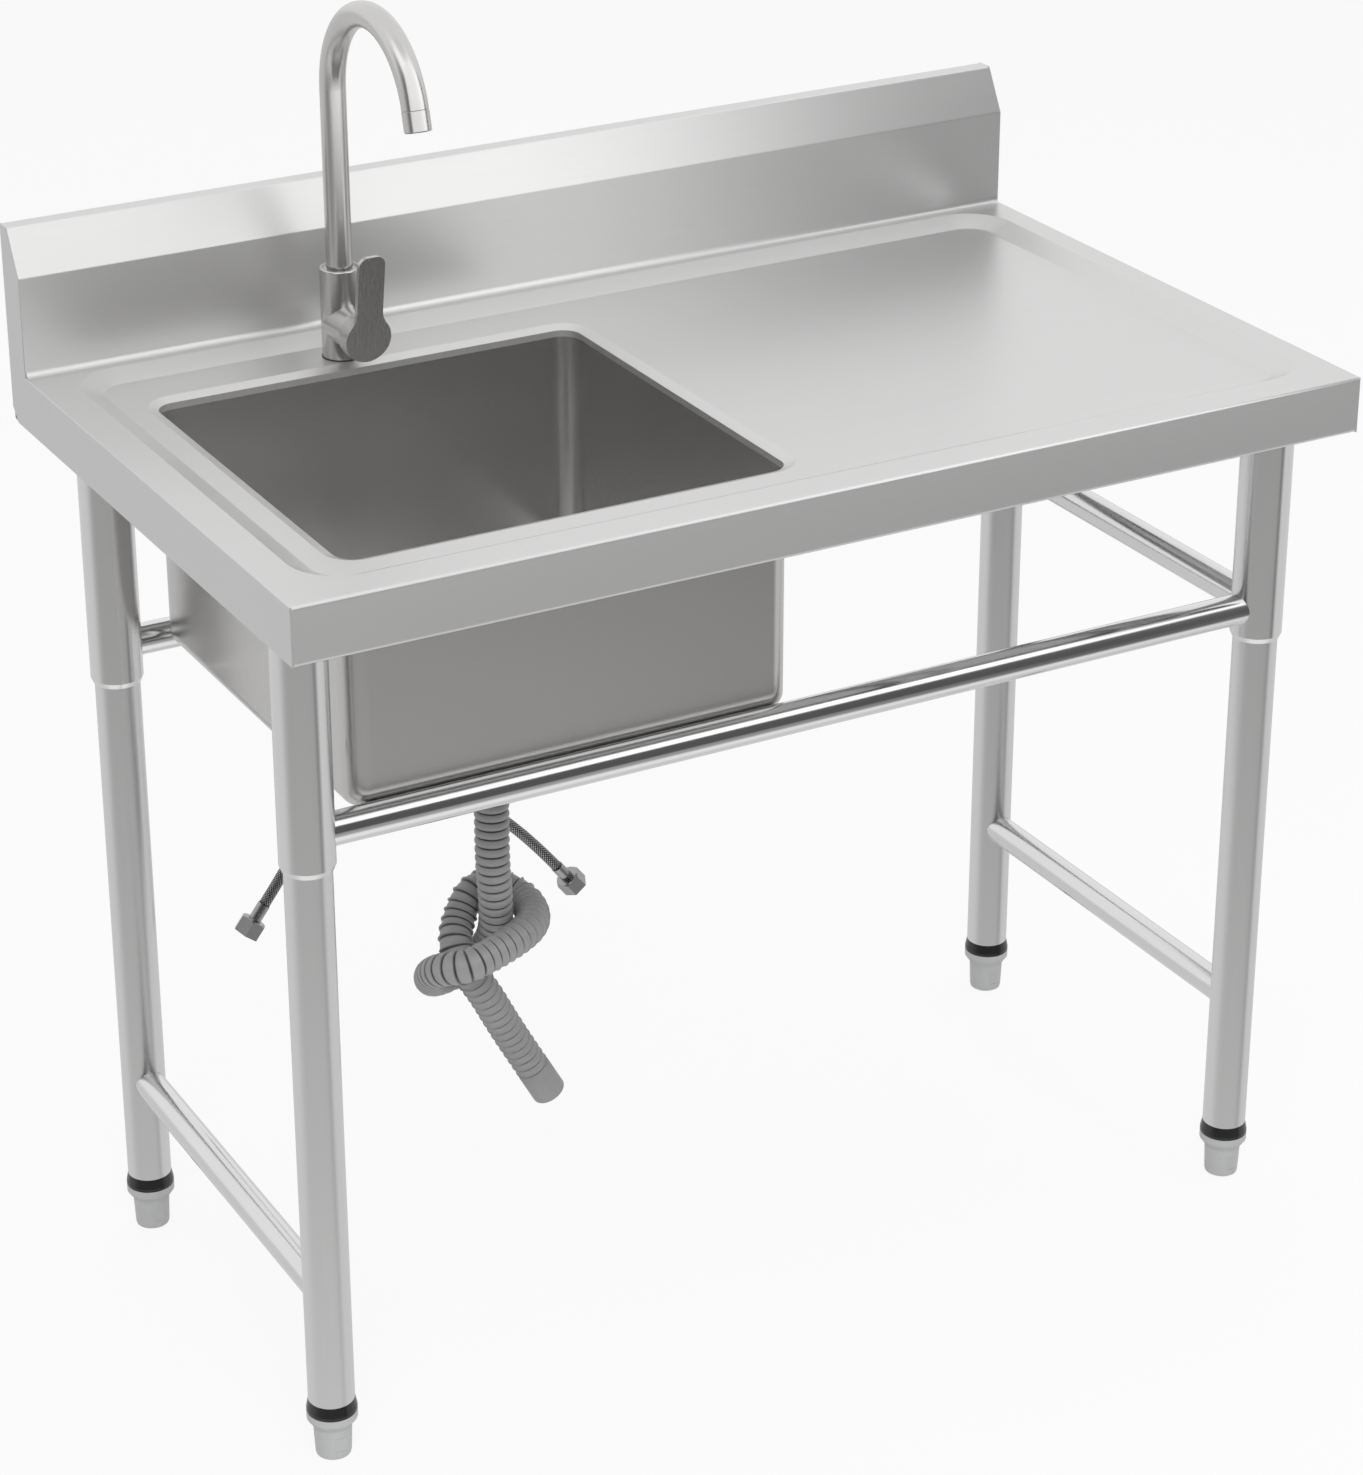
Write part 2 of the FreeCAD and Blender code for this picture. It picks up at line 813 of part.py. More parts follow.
def make_clamp_screw(x, y):
    """Set screw through the back of the sleeve's wall, which clamps the lower leg."""
    z = leg_top - clamp_screw_drop
    start = Vector(x, y + leg_diameter / 2, z)
    seat = Vector(x, y + sleeve_diameter / 2 + 1.5, z)
    head = Vector(x, y + sleeve_diameter / 2 + 5, z)
    return joined(rod(6, start, seat), rod(10, seat, head))


def make_foot_insert(x, y):
    """Threaded plug in the leg's end, its collar flared to the foot's flange."""
    bore = foot_stem_diameter / 2 + thread_clearance
    plug = leg_diameter / 2 - leg_wall - thread_clearance
    collar = foot_body_height + foot_flange_height
    return turned([
        (bore, collar),
        (foot_flange_diameter / 2, collar),
        (foot_flange_diameter / 2, collar + 3),
        (leg_diameter / 2, leg_bottom),
        (plug, leg_bottom),
        (plug, leg_bottom + insert_plug),
        (bore, leg_bottom + insert_plug),
    ], Vector(x, y, 0))


def make_foot(x, y):
    """Adjustable foot: body with flats, stepped flange and threaded stem."""
    flange_base = foot_body_height
    flange_top = flange_base + foot_flange_height
    body = foot_body_diameter / 2
    outline = [(0, 0), (body - 3, 0), (body - 1.5, 1.0), (body - 1, 3)]
    outline += [(body, flange_base - 4), (body, flange_base)]
    step_height = foot_flange_height / 2 / foot_steps
    for number in range(foot_steps):
        radius = foot_flange_diameter / 2 - (foot_steps - number) * foot_step
        outline.append((radius, flange_base + number * step_height))
        outline.append((radius, flange_base + (number + 1) * step_height))
    stem = foot_stem_diameter / 2
    outline += [
        (foot_flange_diameter / 2, flange_base + foot_steps * step_height),
        (foot_flange_diameter / 2, flange_top),
        (stem, flange_top),
        (stem, leg_bottom + insert_plug + foot_travel),
        (0, leg_bottom + insert_plug + foot_travel),
    ]
    foot = turned(outline, Vector(x, y, 0))
    flat = foot_body_diameter / 2 - 1.5
    for side in (-1, 1):
        near = min(side * flat, side * foot_body_diameter)
        cutter = Part.makeBox(
            foot_body_diameter * 2, foot_body_diameter - flat, 14,
            Vector(x - foot_body_diameter, y + near, 8),
        )
        foot = foot.cut(cutter)
    return foot


# Tap


def tap_at(z):
    return Vector(tap_x, tap_y, z)


spout_foot = tap_top - spout_socket
bush_bottom = tap_top - bush_height
housing_bore = cartridge_radius + 0.2
housing_front = tap_y - pivot_reach
cartridge_back = tap_y + 2.0
stem_end = stem_width / 2


def make_tap_body():
    """One casting: upright body and the round housing that points to the front."""
    body = rod(tap_diameter, tap_at(tap_base), tap_at(tap_top))
    top_edge = [e for e in body.Edges if e.BoundBox.ZMin > tap_top - 0.01]
    body = body.makeFillet(corner_round, top_edge)
    centre = Vector(tap_x, tap_y, pivot.z)
    housing = rod(2 * housing_radius, centre, Vector(tap_x, housing_front, pivot.z))
    body = body.fuse(housing)
    body = body.cut(rod(2 * housing_bore, Vector(tap_x, cartridge_back, pivot.z),
                        Vector(tap_x, housing_front - 1, pivot.z)))
    body = body.cut(rod(bush_diameter, tap_at(spout_foot), tap_at(tap_top + 1)))
    body = body.cut(rod(shank_bore, tap_at(tap_base - 1), tap_at(tap_base + 12)))
    return body.removeSplitter()


def make_tap_shank():
    """Threaded shank through the deck; a spigot sits in the body, and the hoses screw in below."""
    bottom = left_supply[0].z
    shank = rod(shank_diameter, tap_at(bottom), tap_at(tap_base))
    spigot = rod(shank_bore, tap_at(tap_base), tap_at(tap_base + 12))
    shank = joined(shank, spigot)
    shank = shank.cut(rod(shank_bore - 5, tap_at(bottom + 12), tap_at(tap_base + 12)))
    for points in (left_supply, right_supply):
        shank = shank.cut(rod(tail_flats, points[0], points[0] + UP * 12))
    return shank


def make_tap_gasket():
    return pipe(tap_diameter + 1, shank_diameter, tap_at(recess_floor), tap_at(tap_base))


def make_tap_washer():
    """Horseshoe washer under the deck, its front cut straight beside the bowl."""
    top = recess_floor - sheet
    washer = pipe(46, shank_diameter + 0.4, tap_at(top - 3), tap_at(top))
    gap = box(tap_x - 9, tap_x + 9, tap_y, tap_y + 30, top - 4, top + 1)
    flat = bowl_back + lip_width + sheet + seat_gap
    beside_bowl = box(tap_x - 30, tap_x + 30, tap_y - 30, flat, top - 4, top + 1)
    return washer.cut(gap).cut(beside_bowl)


def make_tap_nut():
    top = recess_floor - sheet - 3
    nut = hexagon(42, 8, tap_at(top - 8))
    return nut.cut(rod(shank_diameter, tap_at(top - 9), tap_at(top + 1)))


def spout_path():
    """Riser, then one bend over to the front."""
    top = tap_at(spout_foot + spout_socket + spout_straight)
    centre = top + FORWARD * spout_radius
    bend = []
    for share in (0, 0.5, 1):
        angle = math.radians(spout_sweep * share)
        offset = Vector(0, math.cos(angle), math.sin(angle)) * spout_radius
        bend.append(centre + offset)
    path = [Part.LineSegment(tap_at(spout_foot), top).toShape(), Part.Arc(*bend).toShape()]
    end = math.radians(spout_sweep)
    along = Vector(0, -math.sin(end), math.cos(end))
    return Part.Wire(path), bend[2], along


def turn_spout(shape):
    shape.rotate(tap_at(0), UP, spout_turn)
    return shape


def make_spout():
    path, _, _ = spout_path()
    rings = []
    for diameter in (spout_diameter, spout_bore):
        circle = Part.Circle(tap_at(spout_foot), UP, diameter / 2)
        rings.append(path.makePipeShell([Part.Wire(circle.toShape())], True, False))
    return turn_spout(rings[0].cut(rings[1]))


def make_spout_bush():
    """Bearing ring in the top of the body that the spout turns in."""
    bore = spout_diameter + 2 * turning_clearance
    bush = pipe(bush_diameter, bore, tap_at(spout_foot), tap_at(tap_top - 1.5))
    for side in (-1, 1):
        notch = Part.makeBox(3, 3, 4, Vector(tap_x - 1.5, tap_y - 1.5 + side * 13.5, tap_top - 3.5))
        bush = bush.cut(notch)
    return bush


def make_aerator():
    """Threaded outlet with its strainer screen."""
    _, tip, along = spout_path()
    half = aerator_diameter / 2
    aerator = turned([
        (0, 7),
        (aerator_bore / 2, 7),
        (aerator_bore / 2, 0),
        (half - 0.8, 0),
        (half, 0.8),
        (half, aerator_length - 1),
        (half - 0.8, aerator_length),
        (half - 2.2, aerator_length),
        (half - 2.2, aerator_length - 4),
        (0, aerator_length - 4),
    ], tip, along)
    return turn_spout(aerator)


# Cartridge and lever, along the axis that points to the front


def make_cartridge():
    return turned([
        (0, -(cartridge_back - housing_front)),
        (cartridge_radius, -(cartridge_back - housing_front)),
        (cartridge_radius, -7),
        (carrier_radius + turning_clearance, -7),
        (carrier_radius + turning_clearance, -19),
        (0, -19),
    ], pivot, FORWARD)


def make_dome():
    """Retaining ring, domed about the lever's pivot."""
    points = [Vector(dome_hole, 0, -7), Vector(cartridge_radius, 0, -7), Vector(cartridge_radius, 0, 0),
              Vector(housing_radius, 0, 0)]
    outer_flat = math.sqrt(housing_radius**2 - (dome_flat + 1) ** 2)
    middle_angle = (math.acos((dome_flat + 1) / housing_radius) + math.pi / 2) / 2
    end = Vector(outer_flat, 0, dome_flat + 1)
    middle = Vector(housing_radius * math.sin(middle_angle), 0, housing_radius * math.cos(middle_angle))
    inner = Vector(dome_hole, 0, dome_flat + 1)
    edges = [Part.LineSegment(a, b).toShape() for a, b in zip(points, points[1:])]
    edges.append(Part.Arc(points[-1], middle, end).toShape())
    edges.append(Part.LineSegment(end, inner).toShape())
    edges.append(Part.LineSegment(inner, points[0]).toShape())
    dome = Part.Face(Part.Wire(edges)).revolve(Vector(0, 0, 0), UP, 360)
    dome.Placement = FreeCAD.Placement(pivot, FreeCAD.Rotation(UP, FORWARD))
    return dome


def make_carrier():
    """Turns in the cartridge and carries the lever's pin between two cheeks."""
    carrier = turned([(0, -19), (carrier_radius, -19), (carrier_radius, -4.5), (0, -4.5)], pivot, FORWARD)
    for side in (-1, 1):
        inner = side * (stem_width / 2 + turning_clearance)
        outer = side * (stem_width / 2 + 3)
        cheek = box(
            pivot.x + min(inner, outer), pivot.x + max(inner, outer),
            pivot.y - 4, pivot.y + 5, pivot.z - 4, pivot.z + 4,
        )
        carrier = carrier.fuse(cheek)
    reach = RIGHT * (stem_width / 2 + 1)
    return carrier.fuse(rod(stem_pin, pivot - reach, pivot + reach)).removeSplitter()


def make_lever_stem():
    """Square bar on the carrier's pin, with a round heel, up into the lever's cap."""
    half = stem_width / 2
    length = housing_radius + cap_clearance + 3
    bar = box(pivot.x - half, pivot.x + half, pivot.y - length, pivot.y, pivot.z - half, pivot.z + half)
    heel = rod(stem_width, pivot - RIGHT * half, pivot + RIGHT * half)
    pin_hole = rod(stem_pin + 2 * turning_clearance, pivot - RIGHT * half, pivot + RIGHT * half)
    return bar.fuse(heel).cut(pin_hole).removeSplitter()


def lever_outline():
    """Disc that runs by hollow curves into a straight paddle with a blunt round end."""
    half = paddle_width / 2
    reach = cap_radius + lever_hollow
    aside = half + lever_hollow
    height = math.sqrt(reach**2 - aside**2)
    edges = rounded([
        Vector(-half, 0, height), Vector(-half, 0, paddle_rise),
        Vector(half, 0, paddle_rise), Vector(half, 0, height),
    ], [paddle_corner, paddle_corner])
    touch = {}
    for side in (-1, 1):
        centre = Vector(side * aside, 0, height)
        touch[side] = centre * (cap_radius / reach)
        end = Vector(side * half, 0, height)
        middle = centre + unit((touch[side] + end) * 0.5 - centre) * lever_hollow
        edges.append(Part.Arc(touch[side], middle, end).toShape())
    edges.append(Part.Arc(touch[-1], Vector(0, 0, -cap_radius), touch[1]).toShape())
    return Part.Wire(Part.__sortEdges__(edges))


def make_lever():
    """Round cap over the dome, and the flat paddle that rises from it, with one leaning face."""
    pocket = housing_radius + cap_clearance
    face = pocket + cap_face
    skirt = pocket * math.sin(math.radians(lever_tilt))
    lean = math.tan(math.radians(paddle_lean))
    shear = FreeCAD.Matrix()
    shear.A23 = -lean
    plate = Part.Face(lever_outline()).extrude(Vector(0, paddle_thickness, 0))
    plate = plate.transformGeometry(shear)
    front_space = box(-paddle_rise, paddle_rise, -face, 0, -paddle_rise, paddle_rise)
    front_space = front_space.transformGeometry(shear)
    for shape in (plate, front_space):
        shape.translate(pivot + FORWARD * face)
    cap = rod(2 * cap_radius, pivot + FORWARD * skirt, pivot + FORWARD * (face + cap_face))
    lever = cap.cut(front_space).fuse(plate)
    lever = lever.cut(Part.makeSphere(pocket, pivot))
    half_stem = stem_width / 2
    socket = box(
        pivot.x - half_stem, pivot.x + half_stem,
        pivot.y - pocket - 3, pivot.y, pivot.z - half_stem, pivot.z + half_stem,
    )
    lever = lever.cut(socket).removeSplitter()
    return max(lever.Solids, key=lambda solid: solid.Volume)


# Supply hoses


def make_supply_tail(points):
    """Threaded stub at the hose's top, screwed up into the tap's shank."""
    return rod(tail_flats, points[0], points[0] + UP * 10)


def hose_exit(points):
    return points[-1], unit(points[-1] - points[-2])


def make_union_nut(points):
    """Loose union nut that turns on the ferrule's collar, with bevelled corners at its shoulder."""
    end, along = hose_exit(points)
    start = end + along * ferrule_length
    collar = start + along * union_shoulder
    thread = collar + along * (ferrule_collar + 2 * turning_clearance)
    mouth = start + along * union_length
    corner = union_flats / math.sqrt(3)
    outside = turned([
        (0, 0), (corner - 2.5, 0), (corner, 1.8), (corner, union_length), (0, union_length),
    ], start, along)
    nut = hexagon(union_flats, union_length, start, along).common(outside)
    nut = nut.cut(rod(ferrule_diameter + 2 * turning_clearance, start, collar))
    nut = nut.cut(rod(union_thread - 1.2, collar, thread))
    return nut.cut(rod(union_thread, thread, mouth))


def make_ferrule(points):
    """Crimped sleeve on the hose's end, with the collar that the union nut turns on."""
    end, along = hose_exit(points)
    collar = end + along * (ferrule_length + union_shoulder + turning_clearance)
    face = collar + along * ferrule_collar
    sleeve = rod(ferrule_diameter, end, collar)
    flange = rod(union_thread - 1.2 - 2 * turning_clearance, collar, face)
    return joined(sleeve, flange).cut(rod(ferrule_bore, end, face))


# Build


os.makedirs("parts", exist_ok=True)

save("worktop", make_worktop().cut(rod(shank_diameter, tap_at(recess_floor - 20), tap_at(recess_floor + 1))))
save("end_plate_left", make_end_plate(-1))
save("end_plate_right", make_end_plate(1))
save("rear_channel", make_rear_channel())
save("bowl", make_bowl())

places = [place for x, y in corners.values() for place in bolt_places(x, y)]
drills = Part.makeCompound([make_bolt_hole(place) for place in places])
save("side_channel_left", make_hat_channel(left_hat_x).cut(drills))
save("side_channel_right", make_hat_channel(right_hat_x).cut(drills))
save("mid_channel", make_hat_channel(mid_channel_x))
save("leg_plates", *[make_leg_plate(x, y).cut(drills) for x, y in corners.values()])
save("leg_plate_bolts", *[make_plate_bolt(place) for place in places])

screws = [make_clamp_screw(x, y) for x, y in corners.values()]
for name, (x, y) in corners.items():
    save("leg_sleeve_" + name, make_sleeve(x, y).cut(Part.makeCompound(screws)))
    save("lower_leg_" + name, make_lower_leg(x, y))
    save("foot_insert_" + name, make_foot_insert(x, y))
    save("foot_" + name, make_foot(x, y))
save("clamp_screws", *screws)

for name, ends, aside in (
    ("front_rail", ("front_left", "front_right"), 0),
    ("back_rail", ("back_left", "back_right"), back_rail_aside),
    ("right_rail", ("front_right", "back_right"), 0),
):
    start, end = [Vector(*corners[corner], upper_rail_height) for corner in ends]
    save(name, make_rail(start, end, sleeve_diameter, aside))
low_rails = {
    "lower_left_rail": (-leg_x, lower_left_rail_height),
    "lower_right_rail": (leg_x, lower_right_rail_height),
}
for name, (x, z) in low_rails.items():
    save(name, make_rail(Vector(x, leg_front, z), Vector(x, leg_back, z), leg_diameter))

save("strainer_body", make_strainer_body())
save("strainer_gasket", make_strainer_gasket())
save("strainer_locknut", make_strainer_locknut())
save("strainer_basket", make_strainer_basket())
save("basket_rest", make_basket_rest())
save("drain_tailpiece", make_tailpiece())
save("drain_slip_nut", make_slip_nut())

waste_hose, waste_length = make_waste_hose()
gap = least_gap(waste_route, waste_diameter, waste_length)
print("waste hose least gap to itself %.2f" % gap)
save("waste_hose", waste_hose)
top_cuff = make_cuff(waste_route[0], waste_route[1], waste_top_cuff_reach, waste_top_cuff_length)
end_cuff = make_cuff(waste_route[-1], waste_route[-2], waste_cuff_length, waste_cuff_length)
save("waste_hose_cuffs", top_cuff, end_cuff)

save("tap_body", make_tap_body())
save("tap_shank", make_tap_shank())
save("tap_gasket", make_tap_gasket())
save("tap_washer", make_tap_washer())
save("tap_nut", make_tap_nut())
save("spout", make_spout())
save("spout_bush", make_spout_bush())
save("aerator", make_aerator())
save("cartridge", make_cartridge())
save("cartridge_dome", make_dome())
save("cartridge_carrier", make_carrier())
save("lever_stem", make_lever_stem())
save("lever", make_lever())

for side, points in (("left", left_supply), ("right", right_supply)):
    hose = tube_along(points, hose_diameter)
    report_route("supply hose " + side, points, hose_diameter, hose)
    save("supply_hose_" + side, hose)
    save("union_nut_" + side, make_union_nut(points))
save("hose_ferrules", make_ferrule(left_supply), make_ferrule(right_supply))
save("hose_tails", make_supply_tail(left_supply), make_supply_tail(right_supply))
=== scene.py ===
import math

import bpy
import numpy as np
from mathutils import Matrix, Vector


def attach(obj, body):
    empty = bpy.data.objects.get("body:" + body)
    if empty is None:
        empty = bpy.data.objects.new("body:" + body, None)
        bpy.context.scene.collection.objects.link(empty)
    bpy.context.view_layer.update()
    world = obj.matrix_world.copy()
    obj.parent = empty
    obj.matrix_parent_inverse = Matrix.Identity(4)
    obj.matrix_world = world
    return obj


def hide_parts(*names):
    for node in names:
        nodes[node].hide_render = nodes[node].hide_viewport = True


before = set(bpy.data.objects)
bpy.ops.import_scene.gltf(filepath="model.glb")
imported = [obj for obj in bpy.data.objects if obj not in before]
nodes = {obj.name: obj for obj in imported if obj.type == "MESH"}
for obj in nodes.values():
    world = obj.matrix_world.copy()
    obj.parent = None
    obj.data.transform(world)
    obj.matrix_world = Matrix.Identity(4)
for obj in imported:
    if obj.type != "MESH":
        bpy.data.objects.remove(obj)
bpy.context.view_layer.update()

for leftover in ("Cube", "Light", "Camera"):
    if leftover in bpy.data.objects:
        bpy.data.objects.remove(bpy.data.objects[leftover])


# Camera, at the photograph's place and angle: metres, and degrees about x, y and z

camera_place = (-1.53438, -2.75792, 1.98995)
camera_turn = (66.0103, 0.5329, -28.0399)

camera_data = bpy.data.cameras.new("camera")
camera_data.sensor_fit = "HORIZONTAL"
camera_data.sensor_width = 36.0
camera_data.lens = 102.814
camera_data.shift_x = 0.0598
camera_data.shift_y = -0.0862
camera_data.clip_start = 0.1
camera_data.clip_end = 60.0
camera = bpy.data.objects.new("camera", camera_data)
camera.location = camera_place
camera.rotation_euler = [math.radians(angle) for angle in camera_turn]
bpy.context.scene.collection.objects.link(camera)
bpy.context.scene.camera = camera
bpy.context.view_layer.update()


# Node helpers


class Graph:
    """Adds nodes to a tree and links them as they are made."""

    def __init__(self, tree):
        self.tree = tree
        tree.nodes.clear()

    def feed(self, socket, value):
        """Links the value where it is another node's output, and sets it otherwise."""
        if isinstance(value, bpy.types.NodeSocket):
            self.tree.links.new(value, socket)
        else:
            socket.default_value = value

    def put(self, made, name, value):
        self.feed(made.inputs[name], value)

    def node(self, kind, **inputs):
        made = self.tree.nodes.new(kind)
        for name, value in inputs.items():
            self.put(made, name.replace("_", " "), value)
        return made

    def math(self, operation, *values):
        made = self.tree.nodes.new("ShaderNodeMath")
        made.operation = operation
        for slot, value in enumerate(values):
            self.feed(made.inputs[slot], value)
        return made.outputs[0]

    def band(self, value, low, high, low_out=0.0, high_out=1.0):
        """Smooth step of value from low_out at low to high_out at high."""
        made = self.tree.nodes.new("ShaderNodeMapRange")
        made.interpolation_type = "SMOOTHSTEP"
        self.put(made, "Value", value)
        self.put(made, "From Min", low)
        self.put(made, "From Max", high)
        self.put(made, "To Min", low_out)
        self.put(made, "To Max", high_out)
        return made.outputs["Result"]

    def mix(self, factor, first, second):
        """Colour between first and second. The node's colour sockets are inputs 6 and 7, output 2."""
        made = self.tree.nodes.new("ShaderNodeMix")
        made.data_type = "RGBA"
        for slot, value in ((0, factor), (6, first), (7, second)):
            self.feed(made.inputs[slot], value)
        return made.outputs[2]

    def stretched(self, stretch):
        """Object coordinates, scaled differently along each axis."""
        where = self.tree.nodes.new("ShaderNodeTexCoord")
        mapping = self.tree.nodes.new("ShaderNodeMapping")
        mapping.inputs["Scale"].default_value = stretch
        self.tree.links.new(where.outputs["Object"], mapping.inputs["Vector"])
        return mapping.outputs["Vector"]

    def noise(self, vector, scale, detail=3.0, roughness=0.5):
        made = self.tree.nodes.new("ShaderNodeTexNoise")
        self.put(made, "Vector", vector)
        self.put(made, "Scale", scale)
        self.put(made, "Detail", detail)
        self.put(made, "Roughness", roughness)
        return made.outputs["Fac"]


def grey(level, warmth=0.0):
    return (level * (1 + warmth), level, level * (1 - warmth), 1.0)


def material(name):
    made = bpy.data.materials.new(name)
    made.use_nodes = True
    graph = Graph(made.node_tree)
    shader = graph.node("ShaderNodeBsdfPrincipled")
    output = graph.node("ShaderNodeOutputMaterial")
    made.node_tree.links.new(shader.outputs["BSDF"], output.inputs["Surface"])
    return made, graph, shader


def bump(graph, shader, height, strength, distance):
    made = graph.node("ShaderNodeBump", Height=height, Strength=strength, Distance=distance)
    graph.put(shader, "Normal", made.outputs["Normal"])


# Materials

brush_depth = 0.000012
moulded_depth = 0.0002
even = (1.0, 1.0, 1.0)
unbrushed = (600.0, 600.0, 600.0)
x_axis, y_axis, z_axis = range(3)


def brushed(axis, across=1500.0, along=12.0):
    """Stretch of the grain's noise: fine across the brushing, long along the axis that it follows."""
    stretch = [across, across, across]
    stretch[axis] = along
    return tuple(stretch)


def steel(name, level, rough, grain, metal=1.0, strength=0.2, warmth=0.0, contrast=0.03):
    """Metal with a fine grain; grain is the stretch of the noise along each axis."""
    made, graph, shader = material(name)
    lines = graph.noise(graph.stretched(grain), 1.0, 3.0, 0.55)
    clouds = graph.noise(graph.stretched((3.0, 3.0, 3.0)), 1.6, 3.0, 0.5)
    tone = graph.math("ADD", graph.math("MULTIPLY", lines, 0.7), graph.math("MULTIPLY", clouds, 0.3))
    light = grey(level * (1 + contrast), warmth)
    dark = grey(level * (1 - contrast), warmth)
    graph.put(shader, "Base Color", graph.mix(graph.band(tone, 0.3, 0.7), light, dark))
    graph.put(shader, "Metallic", metal)
    graph.put(shader, "Roughness", graph.band(tone, 0.25, 0.75, rough * 0.96, rough * 1.04))
    bump(graph, shader, lines, strength, brush_depth)
    return made


def plastic(name, colour, shade, rough, scale=60.0, strength=0.1):
    """Moulded plastic or rubber, with a fine grain and faint clouds between two colours."""
    made, graph, shader = material(name)
    grainy = graph.noise(graph.stretched(even), scale, 4.0, 0.6)
    cloudy = graph.noise(graph.stretched(even), scale / 8, 3.0, 0.5)
    graph.put(shader, "Base Color", graph.mix(graph.band(cloudy, 0.3, 0.7), colour, shade))
    graph.put(shader, "Roughness", graph.band(grainy, 0.3, 0.7, rough * 0.85, rough * 1.15))
    bump(graph, shader, grainy, strength, moulded_depth)
    return made


sheet_steel = steel(
    "sheet_steel", 0.62, 0.35, brushed(x_axis, 1600.0), 0.78, warmth=0.004, contrast=0.015)
plate_steel = steel("plate_steel", 0.62, 0.34, brushed(y_axis, 1600.0), 0.80, contrast=0.015)
bowl_steel = steel(
    "bowl_steel", 0.58, 0.25, brushed(z_axis, 1600.0, 16.0), 0.97, warmth=0.012, contrast=0.012)
tube_steel = steel("tube_steel", 0.72, 0.33, brushed(z_axis), contrast=0.012)
sleeve_steel = steel("sleeve_steel", 0.72, 0.24, brushed(z_axis), contrast=0.012)
rail_steel = steel("rail_steel", 0.72, 0.14, brushed(x_axis), contrast=0.01)
side_rail_steel = steel("side_rail_steel", 0.70, 0.18, brushed(y_axis))
tap_steel = steel("tap_steel", 0.58, 0.25, brushed(z_axis, 2400.0, 24.0), strength=0.5, warmth=0.012)
lever_steel = steel("lever_steel", 0.52, 0.27, (2400.0, 120.0, 24.0), strength=0.5, warmth=0.012)
nut_plate = steel("nut_plate", 0.34, 0.24, unbrushed, strength=0.5)
fixing_steel = steel("fixing_steel", 0.46, 0.35, unbrushed, strength=0.5)
brass = steel("brass", 0.42, 0.28, unbrushed, warmth=0.38)
cuff_plastic = plastic("cuff_plastic", grey(0.33), grey(0.31), 0.38, 90.0, 0.06)
foot_plastic = plastic("foot_plastic", grey(0.54, -0.006), grey(0.50, -0.006), 0.34)
insert_plastic = plastic("insert_plastic", grey(0.012), grey(0.02), 0.22)
seal_rubber = plastic("seal_rubber", grey(0.02), grey(0.03), 0.6)
drain_plastic = plastic("drain_plastic", grey(0.62), grey(0.56), 0.45)

finish_of = {
    "worktop": sheet_steel,
    "end_plate_left": plate_steel,
    "end_plate_right": plate_steel,
    "rear_channel": sheet_steel,
    "side_channel_left": plate_steel,
    "side_channel_right": plate_steel,
    "mid_channel": plate_steel,
    "bowl": bowl_steel,
    "front_rail": rail_steel,
    "back_rail": rail_steel,
    "right_rail": side_rail_steel,
    "lower_left_rail": side_rail_steel,
    "lower_right_rail": side_rail_steel,
    "leg_plates": fixing_steel,
    "leg_plate_bolts": fixing_steel,
    "clamp_screws": fixing_steel,
    "strainer_body": bowl_steel,
    "strainer_basket": bowl_steel,
    "basket_rest": bowl_steel,
    "strainer_gasket": seal_rubber,
    "strainer_locknut": drain_plastic,
    "drain_tailpiece": drain_plastic,
    "drain_slip_nut": drain_plastic,
    "waste_hose": cuff_plastic,
    "waste_hose_cuffs": cuff_plastic,
    "tap_body": tap_steel,
    "tap_shank": brass,
    "tap_gasket": seal_rubber,
    "tap_washer": fixing_steel,
    "tap_nut": brass,
    "spout": tap_steel,
    "spout_bush": tap_steel,
    "aerator": tap_steel,
    "cartridge": drain_plastic,
    "cartridge_dome": tap_steel,
    "cartridge_carrier": brass,
    "lever_stem": brass,
    "lever": lever_steel,
    "supply_hose_left": seal_rubber,
    "supply_hose_right": seal_rubber,
    "union_nut_left": nut_plate,
    "union_nut_right": nut_plate,
    "hose_ferrules": nut_plate,
    "hose_tails": brass,
}
for corner in ("front_left", "back_left", "front_right", "back_right"):
    finish_of["leg_sleeve_" + corner] = sleeve_steel
    finish_of["lower_leg_" + corner] = tube_steel
    finish_of["foot_insert_" + corner] = insert_plastic
    finish_of["foot_" + corner] = foot_plastic

sharp_from = math.radians(28)

for name, node in nodes.items():
    node.data.materials.clear()
    node.data.materials.append(finish_of[name])
    node.data.shade_smooth()
    node.data.set_sharp_from_angle(angle=sharp_from)


# Hoses


def smooth_line(name, points, resolution=16, least_step=0.0002):
    """Points along the smooth spline whose control points are the route's, in metres."""
    curve = bpy.data.curves.new(name, "CURVE")
    curve.dimensions = "3D"
    curve.resolution_u = resolution
    spline = curve.splines.new("NURBS")
    spline.points.add(len(points) - 1)
    for place, point in zip(spline.points, points):
        place.co = (*point, 1.0)
    spline.order_u = 3
    spline.use_endpoint_u = True
    holder = bpy.data.objects.new(name, curve)
    bpy.context.scene.collection.objects.link(holder)
    bpy.context.view_layer.update()
    depsgraph = bpy.context.evaluated_depsgraph_get()
    mesh = bpy.data.meshes.new_from_object(holder.evaluated_get(depsgraph))
    line = np.array([vertex.co[:] for vertex in mesh.vertices])
    steps = np.linalg.norm(np.diff(line, axis=0), axis=1)
    line = line[np.concatenate([[True], steps > least_step])]
    bpy.data.objects.remove(holder)
    bpy.data.meshes.remove(mesh)
    return line


